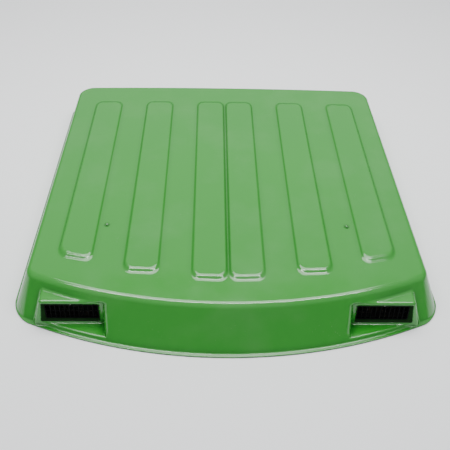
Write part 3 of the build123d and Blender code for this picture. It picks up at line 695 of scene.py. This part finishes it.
def roof_plastic():
    """Glossy green thermoformed sheet with slow waves, mottling, a film of dust, fine scratches and painted
    shade darkening its hollows.
    """
    f = Finish("roof_plastic", (0.024, 0.262, 0.020), 0.16, Coat_Weight=0.25, Coat_Roughness=0.05)
    f.tint(f.spread(f.noise(2.2, 2), 0.35, 0.7, 0.0, 0.30), (0.019, 0.225, 0.018))
    dust = f.spread(f.noise(5.0, 5), 0.48, 0.80, 0.0, 0.10)
    f.tint(dust, (0.20, 0.40, 0.18))
    # Painted shade: the rib roots and other hollows are tinted dark green where shade would fall.
    f.tint(f.spread(f.hollows(0.025), 0.0, 1.0, 0.0, 0.85), (0.008, 0.085, 0.008))
    specks = f.times(f.spread(f.cells(85), 0.10, 0.05), f.spread(f.noise(9.0), 0.55, 0.70))
    f.tint(f.spread(specks, 0.0, 1.0, 0.0, 0.35), (0.45, 0.50, 0.40))
    f.rough(f.noise(7.0, 4), 0.35, 0.75, 0.10, 0.24)
    f.bump(f.noise(3.0, 1), 0.0012)
    f.bump(f.noise(420, 2), 0.00002)
    f.bump(f.spread(f.noise(26, 6, (1, 0.05, 1)), 0.66, 0.72), 0.000015)
    return f.material


def roof_inside():
    """The sheet's back: the same green, matt, darker and dusty."""
    f = Finish("roof_inside", (0.030, 0.135, 0.026), 0.55)
    f.tint(f.spread(f.noise(4.0, 6), 0.45, 0.75, 0.0, 0.45), (0.16, 0.17, 0.13))
    f.rough(f.noise(30, 4), 0.3, 0.7, 0.45, 0.70)
    f.bump(f.noise(160, 4), 0.0002)
    return f.material


def recess_painted_shade():
    """The intake recesses: painted shade, the sheet's green made dull and dark because the recesses lie in
    shade.
    """
    f = Finish("recess_painted_shade", (0.008, 0.040, 0.008), 0.85, Specular_IOR_Level=0.08)
    f.tint(f.spread(f.noise(30, 5), 0.45, 0.75, 0.0, 0.5), (0.018, 0.055, 0.017))
    f.bump(f.noise(300, 3), 0.00005)
    return f.material


def bolt_paint():
    """Bolt heads painted over with the roof, chipped to grey in places."""
    f = Finish("bolt_paint", (0.022, 0.190, 0.020), 0.35)
    chips = f.spread(f.noise(240, 4), 0.62, 0.70, 0.0, 0.8)
    f.tint(chips, (0.10, 0.16, 0.09))
    f.bump(f.noise(500, 3), 0.00008)
    return f.material


def grille_plastic_painted_shade():
    """The same black plastic as the ducts, with painted shade: darker and duller than theirs because the
    grille sits in the shade.
    """
    # Painted shade: the base colour is darker than the ducts' own black.
    f = Finish("grille_plastic_painted_shade", (0.004, 0.004, 0.0045), 0.75, Specular_IOR_Level=0.12)
    f.tint(f.spread(f.noise(40, 6), 0.55, 0.80, 0.0, 0.30), (0.012, 0.012, 0.011))
    f.bump(f.cells(900, "SMOOTH_F1"), 0.0001)
    return f.material


def duct_plastic():
    """Black moulded plastic with a fine leather grain and grey dust."""
    f = Finish("duct_plastic", (0.011, 0.011, 0.012), 0.42)
    f.tint(f.spread(f.noise(14, 6), 0.50, 0.78, 0.0, 0.35), (0.085, 0.083, 0.076))
    f.rough(f.noise(60, 4), 0.3, 0.7, 0.34, 0.58)
    f.bump(f.cells(900, "SMOOTH_F1"), 0.00012)
    return f.material


def rubber():
    """Black rubber, dull and slightly chalky."""
    f = Finish("seal_rubber", (0.016, 0.016, 0.017), 0.62)
    f.tint(f.spread(f.noise(22, 6), 0.48, 0.80, 0.0, 0.40), (0.10, 0.10, 0.095))
    f.rough(f.noise(80, 4), 0.3, 0.7, 0.55, 0.80)
    f.bump(f.noise(700, 3), 0.00008)
    return f.material


def filter_paper():
    """Cream pleated paper: fibres, and patches of grey dust."""
    f = Finish("filter_paper", (0.62, 0.52, 0.34), 0.88, Sheen_Weight=0.2)
    f.tint(f.spread(f.noise(55, 8), 0.45, 0.75, 0.0, 0.55), (0.36, 0.31, 0.22))
    f.tint(f.spread(f.noise(900, 2, (1, 1, 0.15)), 0.50, 0.75, 0.0, 0.35), (0.80, 0.74, 0.58))
    f.bump(f.noise(1200, 4), 0.0001)
    return f.material


def frame_steel():
    """Dark grey dipped paint over pressed steel, with slight orange peel and rust freckles."""
    f = Finish("frame_steel", (0.050, 0.053, 0.058), 0.36, Metallic=0.15)
    f.tint(f.spread(f.noise(6, 4), 0.40, 0.70, 0.0, 0.40), (0.075, 0.077, 0.080))
    rust = f.times(f.spread(f.cells(140), 0.20, 0.08), f.spread(f.noise(11, 5), 0.58, 0.72))
    f.tint(f.spread(rust, 0.0, 1.0, 0.0, 0.8), (0.16, 0.062, 0.024))
    f.rough(f.noise(35, 4), 0.3, 0.7, 0.28, 0.50)
    f.bump(f.noise(260, 2), 0.0001)
    return f.material


def zinc_steel():
    """Zinc-plated fasteners: pale, faintly yellow and blue, with fine turning marks."""
    f = Finish("zinc_steel", (0.58, 0.57, 0.53), 0.30, Metallic=1.0)
    f.tint(f.spread(f.noise(120, 4), 0.40, 0.70, 0.0, 0.50), (0.50, 0.53, 0.60))
    f.tint(f.spread(f.noise(60, 5), 0.55, 0.75, 0.0, 0.50), (0.60, 0.52, 0.34))
    f.rough(f.noise(300, 4), 0.3, 0.7, 0.22, 0.45)
    f.bump(f.noise(1500, 2, (1, 1, 6)), 0.00005)
    return f.material


def foam():
    """Open-cell charcoal foam."""
    f = Finish("foam", (0.055, 0.056, 0.060), 0.95, Sheen_Weight=0.3)
    f.tint(f.spread(f.noise(8, 5), 0.40, 0.72, 0.0, 0.50), (0.085, 0.084, 0.082))
    f.tint(f.spread(f.cells(520), 0.35, 0.10, 0.0, 0.75), (0.012, 0.012, 0.013))
    f.bump(f.cells(520), 0.0006)
    return f.material


def ease_edges(node):
    """Break a machined or moulded part's sharp edges so that they catch the light."""
    weld = node.modifiers.new("weld", "WELD")
    weld.merge_threshold = 1e-6
    bevel = node.modifiers.new("bevel", "BEVEL")
    bevel.width = EASED_EDGE
    bevel.segments = 2
    bevel.limit_method = "ANGLE"
    bevel.angle_limit = EASED_ANGLE
    node.modifiers.new("normals", "WEIGHTED_NORMAL")


def paint(material, *words):
    """Give one material to the CAD nodes whose names hold one of the words."""
    for name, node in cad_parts.items():
        if any(word in name for word in words):
            node.data.materials.clear()
            node.data.materials.append(material)


# ---------------------------------------------------------------- floor, light and camera

SKY_COLOUR = (0.93, 0.97, 1.0, 1)
SKY_HORIZON, SKY_ZENITH = 0.22, 1.0
CAMERA_PLACE = (-0.07086, -1.98868, 1.75303)
CAMERA_DOWN, CAMERA_YAW, CAMERA_ROLL = (math.radians(a) for a in (43.083, 2.063, 1.8915))
CAMERA_LENS, CAMERA_SENSOR = 48.8, 36.0    # millimetres


def make_floor():
    """Plain pale floor, just under the rim."""
    corners = [(-1, -1), (1, -1), (1, 1), (-1, 1)]
    points = [(x * FLOOR_HALF, y * FLOOR_HALF, cad_low.z - FLOOR_GAP) for x, y in corners]
    mesh = bpy.data.meshes.new("floor")
    mesh.from_pydata(points, [], [(0, 1, 2, 3)])
    mesh.materials.append(Finish("floor", (0.95, 0.95, 0.95), 0.8).material)
    added("floor", mesh)


def area_light(name, place, size, power, gloss_only=False):
    """Rectangular lamp that faces the middle of the roof. A gloss_only one shows in reflections alone."""
    data = bpy.data.lights.new(name, "AREA")
    data.shape = "RECTANGLE"
    data.size, data.size_y = size
    data.energy = power
    lamp = added(name, data)
    lamp.location = place
    lamp.visible_diffuse = not gloss_only
    lamp.rotation_euler = (-lamp.location).to_track_quat("-Z", "Y").to_euler()


def make_world():
    """Soft sky of one pale colour, dim at the horizon and bright overhead."""
    world = bpy.data.worlds.new("studio")
    bpy.context.scene.world = world
    world.use_nodes = True
    nodes, links = world.node_tree.nodes, world.node_tree.links
    background = nodes["Background"]
    background.inputs["Color"].default_value = SKY_COLOUR
    upward = nodes.new("ShaderNodeSeparateXYZ")
    links.new(nodes.new("ShaderNodeTexCoord").outputs["Generated"], upward.inputs["Vector"])
    rise = map_range(nodes, 0.0, 1.0, SKY_HORIZON, SKY_ZENITH)
    links.new(upward.outputs["Z"], rise.inputs["Value"])
    links.new(rise.outputs["Result"], background.inputs["Strength"])


def make_lights():
    """Large lamp over the roof, thin strip for the highlights on the creases, dim wall of light behind."""
    area_light("overhead", (0, 0.5, 3.2), (3.6, 1.8), 150)
    area_light("front_strip", (0, -0.55, 3.0), (4.0, 0.14), 85, gloss_only=True)
    area_light("rear_wall", (0, 4.2, 3.2), (6.0, 3.0), 30)


def make_camera():
    """Camera in front of the roof and above it, looking down at the top."""
    data = bpy.data.cameras.new("camera")
    data.sensor_width = CAMERA_SENSOR
    data.lens = CAMERA_LENS
    camera = added("camera", data)
    turn = Matrix.Rotation(-CAMERA_YAW, 4, "Z") @ Matrix.Rotation(math.pi / 2 - CAMERA_DOWN, 4, "X")
    camera.matrix_world = Matrix.Translation(CAMERA_PLACE) @ turn @ Matrix.Rotation(CAMERA_ROLL, 4, "Z")
    bpy.context.scene.camera = camera


# ---------------------------------------------------------------- the scene

skin = make_skin()
skin.data.materials.append(roof_plastic())
skin.data.materials.append(roof_inside())
skin.data.materials.append(recess_painted_shade())
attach(skin, "root")
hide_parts("roof_shell")

black_rubber = rubber()
seal = make_rim_seal()
seal.data.materials.append(black_rubber)
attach(seal, "root")
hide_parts("rim_seal")

foam_material = foam()
for place in ("front", "middle", "rear"):
    pad = make_pad(f"foam_pad_{place}", f"insulation_{place}")
    pad.data.materials.append(foam_material)
    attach(pad, "root")
    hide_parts(f"insulation_{place}")

paint(duct_plastic(), "intake_housing")
paint(grille_plastic_painted_shade(), "intake_grille")
paint(bolt_paint(), "skin_bolts", "skin_bolt_washers")
paint(black_rubber, "intake_gasket", "mount_bushes")
paint(filter_paper(), "intake_filter")
paint(frame_steel(), "cross_member", "side_rail", "gusset_plates", "mount_bracket")
paint(zinc_steel(), "bracket_bolts", "nuts", "bolt_spacers", "mount_sleeves", "gusset_rivets",
      "intake_screws")
for name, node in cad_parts.items():
    shows_as_itself = not name.startswith(("roof_shell", "rim_seal", "insulation"))
    if shows_as_itself:
        ease_edges(node)

make_floor()
make_world()
make_lights()
make_camera()
